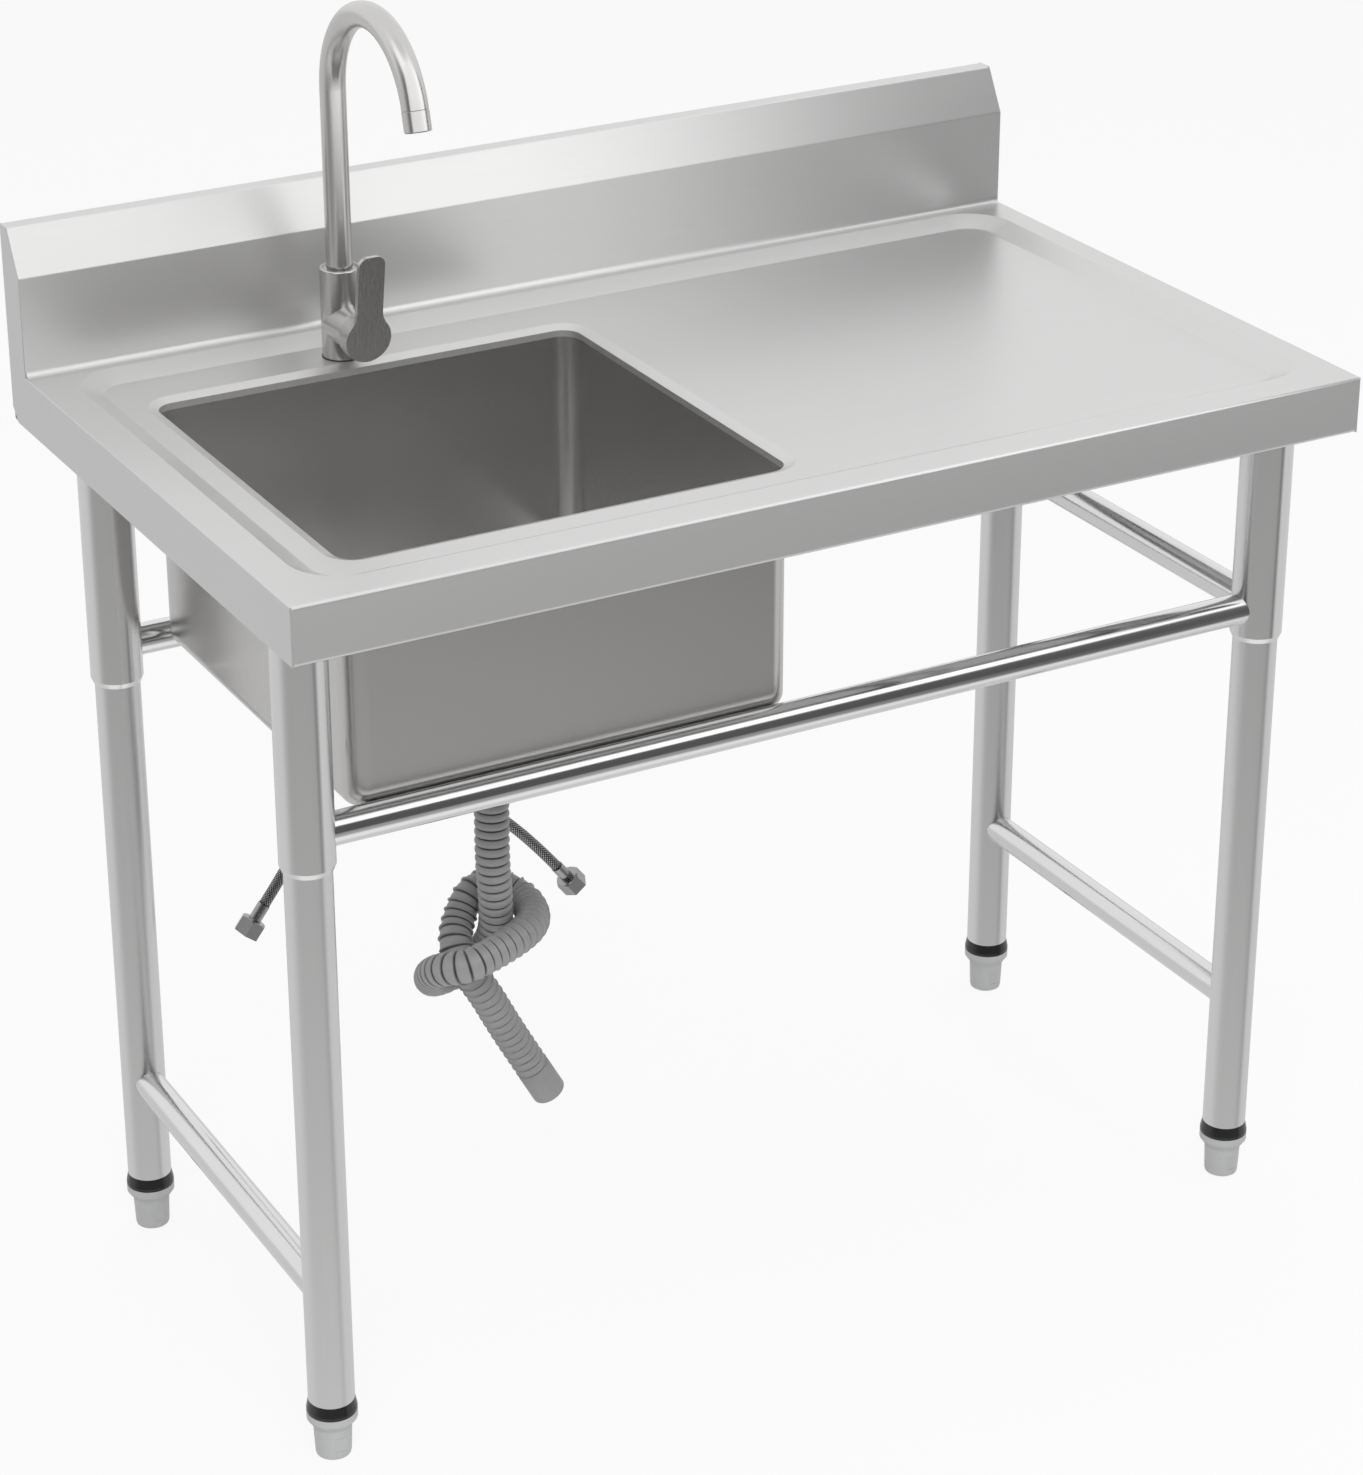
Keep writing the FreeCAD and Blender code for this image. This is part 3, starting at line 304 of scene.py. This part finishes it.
class Route:
    """A line with its length, and a frame at any distance along it that turns as little as it can."""

    first_aim = (0.31, 0.95, 0.02)

    def __init__(self, line):
        self.line = line
        steps = np.linalg.norm(np.diff(line, axis=0), axis=1)
        self.distance = np.concatenate([[0.0], np.cumsum(steps)])
        self.length = self.distance[-1]
        tangents = np.gradient(line, self.distance, axis=0)
        self.tangents = tangents / np.linalg.norm(tangents, axis=1)[:, None]
        side = np.cross(self.tangents[0], self.first_aim)
        sides = []
        for tangent in self.tangents:
            side = side - tangent * side.dot(tangent)
            side = side / np.linalg.norm(side)
            sides.append(side)
        self.sides = np.array(sides)

    def at(self, distance, table):
        return np.array([np.interp(distance, self.distance, table[:, axis]) for axis in range(3)])

    def ring(self, distance, radius, count):
        centre = self.at(distance, self.line)
        tangent = self.at(distance, self.tangents)
        tangent = tangent / np.linalg.norm(tangent)
        side = self.at(distance, self.sides)
        side = side - tangent * side.dot(tangent)
        side = side / np.linalg.norm(side)
        other = np.cross(tangent, side)
        angles = np.arange(count) * 2 * math.pi / count
        return centre + radius * (np.outer(np.cos(angles), side) + np.outer(np.sin(angles), other))


def tube_mesh(name, route, profile, count):
    """Closed skin through rings of (distance, radius), out along the profile and back inside it."""
    mesh = bpy.data.meshes.new(name)
    verts = np.concatenate([route.ring(distance, radius, count) for distance, radius in profile])
    faces = []
    for row in range(len(profile)):
        here = row * count
        after = (row + 1) % len(profile) * count
        for number in range(count):
            beside = (number + 1) % count
            faces.append((here + number, here + beside, after + beside, after + number))
    mesh.from_pydata([tuple(v) for v in verts], [], faces)
    mesh.update()
    layer = mesh.uv_layers.new(name="along")
    for face in mesh.polygons:
        places = [divmod(mesh.loops[loop].vertex_index, count) for loop in face.loop_indices]
        wraps = any(number == count - 1 for row, number in places)
        for loop, (row, number) in zip(face.loop_indices, places):
            around = 1.0 if wraps and number == 0 else number / count
            layer.data[loop].uv = (around, profile[row][0])
    mesh.shade_smooth()
    made = bpy.data.objects.new(name, mesh)
    bpy.context.scene.collection.objects.link(made)
    return made


def millimetres(*points):
    return [tuple(value / 1000 for value in point) for point in points]


waste_points = millimetres(
    (-200.0, -20.5, 502.0), (-200.0, -20.5, 452.0), (-202.0, -23.5, 406.0), (-198.0, -21.0, 365.0),
    (-195.0, -13.0, 327.0), (-200.5, 8.0, 297.0), (-224.5, 14.0, 282.0), (-253.0, 1.0, 287.5),
    (-267.0, -26.5, 311.5), (-268.5, -56.0, 331.5), (-252.0, -73.0, 337.5), (-228.0, -68.0, 340.5),
    (-197.5, -59.0, 344.0), (-173.5, -44.0, 345.5), (-159.5, -16.5, 343.0), (-160.0, 8.5, 348.0),
    (-178.5, 22.5, 357.5), (-203.5, 18.5, 359.0), (-222.0, 7.5, 340.0), (-236.0, -11.5, 326.0),
    (-233.0, -24.5, 310.0), (-215.5, -26.5, 282.0), (-196.5, -26.0, 243.0), (-175.0, -25.5, 203.0),
    (-152.5, -28.5, 161.0),
)
left_points = millimetres(
    (-232.5, 204.0, 741.0), (-232.5, 204.0, 701.0), (-231.5, 212.0, 630.0), (-234.0, 216.0, 530.0),
    (-243.0, 215.0, 435.0), (-267.0, 215.0, 363.0), (-299.0, 215.0, 313.0), (-322.0, 215.0, 283.0),
)
right_points = millimetres(
    (-219.5, 204.0, 741.0), (-219.5, 204.0, 701.0), (-220.5, 212.0, 630.0), (-216.0, 216.0, 530.0),
    (-193.0, 215.0, 440.0), (-141.0, 215.0, 374.0), (-80.0, 215.0, 317.0), (-41.0, 215.0, 276.0),
    (-16.8, 215.0, 245.0),
)


# Waste hose: round ribs at the top that turn into narrow teeth towards the tail, between two cuffs.
# Lengths and radii are in metres.

top_cuff = 0.012
end_cuff = 0.034
cuff_edge = 0.001
cuff_radius = 0.0152
bore_radius = 0.0118
bore_rows = 160
rib_spacing = 0.0084
teeth_from = 0.25
teeth_over = 0.35

# Share of the pitch, the radius there on a round rib, and the radius there on a tooth
rib_shape = (
    (0.00, 0.01280, 0.01300),
    (0.07, 0.01320, 0.01345),
    (0.18, 0.01450, 0.01385),
    (0.34, 0.01535, 0.01405),
    (0.50, 0.01565, 0.01415),
    (0.66, 0.01560, 0.01425),
    (0.78, 0.01520, 0.01480),
    (0.86, 0.01460, 0.01572),
    (0.93, 0.01340, 0.01430),
)
# Distance from the start of the end cuff, and the radius there
collar_shape = ((0.0, 0.0132), (0.0010, 0.0150), (0.0030, 0.0150), (0.0034, 0.0156))
rim_radius = 0.0157

waste = Route(smooth_line("waste_line", waste_points, 24))
ribbed = waste.length - top_cuff - end_cuff
rib_count = round(ribbed / rib_spacing)
pitch = ribbed / rib_count


def waste_profile():
    """Rings of the hose as (distance, radius), down its outside and back up its bore."""
    rings = [(0.0, cuff_radius), (top_cuff - cuff_edge, cuff_radius)]
    for number in range(rib_count):
        start = top_cuff + number * pitch
        tooth = min(1.0, max(0.0, (number / rib_count - teeth_from) / teeth_over))
        for share, bulge, flank in rib_shape:
            rings.append((start + share * pitch, bulge * (1 - tooth) + flank * tooth))
    for offset, radius in collar_shape:
        rings.append((waste.length - end_cuff + offset, radius))
    rings.append((waste.length - cuff_edge, rim_radius))
    rings.append((waste.length, cuff_radius))
    for step in range(bore_rows + 1):
        rings.append((waste.length - step * waste.length / bore_rows, bore_radius))
    return rings


def corrugated():
    """Grey plastic, duller and darker down in the grooves between its ribs; the dark in the grooves is
    painted shade.
    """
    made, graph, shader = material("hose_plastic")
    where = graph.node("ShaderNodeTexCoord").outputs["UV"]
    along = graph.node("ShaderNodeSeparateXYZ", Vector=where).outputs["Y"]
    turn = graph.math("FRACT", graph.math("DIVIDE", graph.math("SUBTRACT", along, top_cuff), pitch))
    shifted = graph.math("FRACT", graph.math("ADD", turn, 0.48))
    groove = graph.math("ABSOLUTE", graph.math("SUBTRACT", shifted, 0.5))
    below_top = graph.band(along, top_cuff - cuff_edge, top_cuff)
    above_end = graph.band(along, waste.length - end_cuff + cuff_edge, waste.length - end_cuff)
    ribs = graph.math("MULTIPLY", below_top, above_end)
    # Painted shade: the share of each groove between the ribs that is darkened towards near-black grey
    deep = graph.math("MULTIPLY", graph.band(groove, 0.15, 0.03), ribs)
    cloudy = graph.noise(graph.stretched(even), 11.0, 3.0, 0.5)
    skin = graph.mix(graph.band(cloudy, 0.3, 0.7), grey(0.33), grey(0.29))
    # The painted groove shade is mixed over the plastic's own colour here
    graph.put(shader, "Base Color", graph.mix(deep, skin, grey(0.045)))
    grainy = graph.noise(graph.stretched(even), 90.0, 4.0, 0.6)
    graph.put(shader, "Roughness", graph.band(grainy, 0.3, 0.7, 0.33, 0.42))
    bump(graph, shader, grainy, 0.08, moulded_depth)
    return made


hose_plastic = corrugated()
waste_hose = tube_mesh("corrugated_hose", waste, waste_profile(), 48)
waste_hose.data.materials.append(hose_plastic)
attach(waste_hose, "unit")
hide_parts("waste_hose", "waste_hose_cuffs")


# Supply hoses: steel braid over rubber

wires_around = 12.0
wires_per_metre = 300.0
wire_edge = (0.18, 0.34)
braid_depth = 0.0006
braid_radius = 0.00525
supply_bore_radius = 0.0030
supply_row_spacing = 0.004


def braid():
    """Steel wires woven over black rubber, on the tube's own coordinates."""
    made, graph, shader = material("braid")
    where = graph.node("ShaderNodeTexCoord").outputs["UV"]
    split = graph.node("ShaderNodeSeparateXYZ", Vector=where)
    around = graph.math("MULTIPLY", split.outputs["X"], wires_around)
    along = graph.math("MULTIPLY", split.outputs["Y"], wires_per_metre)
    one = graph.math("FRACT", graph.math("ADD", around, along))
    two = graph.math("FRACT", graph.math("SUBTRACT", along, around))
    gap_one = graph.band(graph.math("ABSOLUTE", graph.math("SUBTRACT", one, 0.5)), *wire_edge)
    gap_two = graph.band(graph.math("ABSOLUTE", graph.math("SUBTRACT", two, 0.5)), *wire_edge)
    gaps = graph.math("MAXIMUM", gap_one, gap_two)
    deep = graph.math("MULTIPLY", graph.math("MULTIPLY", gap_one, gap_two), 0.4)
    wires = graph.math("SUBTRACT", 1.0, gaps)
    graph.put(shader, "Base Color", graph.mix(gaps, grey(0.55), grey(0.015)))
    graph.put(shader, "Metallic", wires)
    graph.put(shader, "Roughness", graph.band(gaps, 0.0, 1.0, 0.25, 0.5))
    bump(graph, shader, graph.math("SUBTRACT", wires, deep), 0.5, braid_depth)
    return made


def supply_profile(length):
    """Rings of a supply hose as (distance, radius), down its outside and back up its bore."""
    rows = int(length / supply_row_spacing)
    outside = [(step * length / rows, braid_radius) for step in range(rows + 1)]
    inside = [(length - step * length / rows, supply_bore_radius) for step in range(rows + 1)]
    return outside + inside


braided = braid()
for side, points in (("left", left_points), ("right", right_points)):
    route = Route(smooth_line(side + "_line", points, 16))
    hose = tube_mesh("supply_braid_" + side, route, supply_profile(route.length), 24)
    hose.data.materials.append(braided)
    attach(hose, "unit")
    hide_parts("supply_hose_" + side)


# Studio


def studio_world():
    """White to the camera, even light on matt surfaces, and for metal a room to reflect.

    x, y and z are a direction's parts: x to the right, y to the back and z up.
    The room is pale at the back. In front, from the top down, are a plain ceiling, a bright soft
    box, a dim wall, a near floor and a pale floor. The near floor is grey, with a dark strip to the
    right, and pale past that.
    """
    world = bpy.data.worlds.new("studio")
    world.use_nodes = True
    bpy.context.scene.world = world
    graph = Graph(world.node_tree)
    direction = graph.node("ShaderNodeTexCoord").outputs["Generated"]
    split = graph.node("ShaderNodeSeparateXYZ", Vector=direction)
    x, y, z = split.outputs["X"], split.outputs["Y"], split.outputs["Z"]
    # 1.0001 keeps the level part above zero straight up and down
    level_part = graph.math("SQRT", graph.math("SUBTRACT", 1.0001, graph.math("MULTIPLY", z, z)))
    back = graph.math("ADD", graph.math("MULTIPLY", x, 0.35), graph.math("MULTIPLY", y, 0.94))
    front = graph.math("DIVIDE", graph.math("MULTIPLY", back, -1.0), level_part)

    near_floor = graph.mix(graph.band(x, 0.43, 0.55), grey(0.44, 0.01), grey(0.10, 0.01))
    near_floor = graph.mix(graph.band(x, 0.58, 0.74), near_floor, grey(0.95))
    wall = graph.mix(graph.band(z, -0.14, -0.32), grey(0.11), near_floor)
    soft_box_share = graph.band(z, 0.50, 0.60)
    wall = graph.mix(soft_box_share, wall, grey(1.6))
    ceiling_share = graph.band(z, 0.84, 0.92)
    wall = graph.mix(ceiling_share, wall, grey(0.9))
    floor_share = graph.band(z, -0.46, -0.70)
    wall = graph.mix(floor_share, wall, grey(1.05))
    behind = graph.mix(graph.band(z, -0.10, 0.12), grey(0.76), grey(1.02))
    room = graph.mix(graph.band(front, -0.05, 0.62), behind, wall)

    paths = graph.node("ShaderNodeLightPath")
    lit = graph.mix(paths.outputs["Is Glossy Ray"], grey(0.56), room)
    seen = graph.mix(paths.outputs["Is Camera Ray"], lit, grey(1.0))
    background = graph.node("ShaderNodeBackground", Color=seen, Strength=1.0)
    graph.node("ShaderNodeOutputWorld", Surface=background.outputs["Background"])


studio_world()


def soft_box(name, place, aim, size, power):
    """Rectangular lamp of the given width and height, turned to its aim, that metal doesn't reflect."""
    lamp = bpy.data.lights.new(name, "AREA")
    lamp.shape = "RECTANGLE"
    lamp.size, lamp.size_y = size
    lamp.energy = power
    made = bpy.data.objects.new(name, lamp)
    made.location = place
    made.rotation_mode = "QUATERNION"
    made.rotation_quaternion = (Vector(aim) - Vector(place)).to_track_quat("-Z", "Y")
    made.visible_glossy = False
    bpy.context.scene.collection.objects.link(made)


soft_box("key", (-1.2, -2.6, 2.6), (0, 0, 0.5), (2.4, 1.6), 54.0)
soft_box("top", (0.6, 0.2, 3.2), (0, 0, 0.6), (2.6, 2.0), 30.0)


def flat_piece(name, corners):
    """One four-sided face."""
    mesh = bpy.data.meshes.new(name)
    mesh.from_pydata(corners, [], [(0, 1, 2, 3)])
    made = bpy.data.objects.new(name, mesh)
    bpy.context.scene.collection.objects.link(made)
    return made


def bare_material(name):
    """Material with an empty tree."""
    made = bpy.data.materials.new(name)
    made.use_nodes = True
    return made, Graph(made.node_tree)


def reflector():
    """Lit panel that only reflections see, high in front, so that the splash and its bevel shine.

    Its lower part is meant for the splash and its upper part for the bevel. Each grows brighter
    from the left towards the middle and fades out at the right.
    """
    left = -1.1
    right = 1.6
    low = 0.83
    high = 1.75
    front = -0.37
    panel = flat_piece(
        "reflector", [(left, front, low), (right, front, low), (right, front, high), (left, front, high)])
    made, graph = bare_material("panel_light")
    where = graph.node("ShaderNodeTexCoord").outputs["Object"]
    split = graph.node("ShaderNodeSeparateXYZ", Vector=where)
    x, z = split.outputs["X"], split.outputs["Z"]
    lower_rise = graph.band(x, -0.30, 0.30, 1.20, 1.60)
    lower = graph.math("MULTIPLY", lower_rise, graph.band(x, 0.38, 0.66, 1.0, 0.08))
    upper_rise = graph.band(x, -0.15, 0.30, 1.35, 1.75)
    upper = graph.math("MULTIPLY", upper_rise, graph.band(x, 0.50, 0.78, 1.0, 0.08))
    upper_share = graph.band(z, 1.12, 1.26)
    lower_light = graph.math("MULTIPLY", lower, graph.math("SUBTRACT", 1.0, upper_share))
    strength = graph.math("ADD", lower_light, graph.math("MULTIPLY", upper, upper_share))
    glow = graph.node("ShaderNodeEmission", Color=grey(1.0), Strength=strength)
    graph.node("ShaderNodeOutputMaterial", Surface=glow.outputs[0])
    panel.data.materials.append(made)
    panel.visible_camera = False
    panel.visible_diffuse = False
    panel.visible_transmission = False
    panel.visible_shadow = False


reflector()


def studio_floor():
    """White floor that keeps the object's soft shadow. Reflections look through it at the world."""
    half = 14.0
    glow_share = 0.88
    floor = flat_piece("floor", [(-half, -half, 0), (half, -half, 0), (half, half, 0), (-half, half, 0)])
    made, graph = bare_material("floor_white")
    matt = graph.node("ShaderNodeBsdfDiffuse", Color=grey(0.85))
    glow = graph.node("ShaderNodeEmission", Color=grey(1.0), Strength=1.0)
    clear = graph.node("ShaderNodeBsdfTransparent")
    paths = graph.node("ShaderNodeLightPath")
    share = graph.math("MULTIPLY", paths.outputs["Is Camera Ray"], glow_share)
    pale = graph.node("ShaderNodeMixShader", Fac=share)
    graph.feed(pale.inputs[1], matt.outputs[0])
    graph.feed(pale.inputs[2], glow.outputs[0])
    through = graph.node("ShaderNodeMixShader", Fac=paths.outputs["Is Glossy Ray"])
    graph.feed(through.inputs[1], pale.outputs[0])
    graph.feed(through.inputs[2], clear.outputs[0])
    graph.node("ShaderNodeOutputMaterial", Surface=through.outputs[0])
    floor.data.materials.append(made)


studio_floor()

bpy.context.scene.view_settings.view_transform = "Standard"
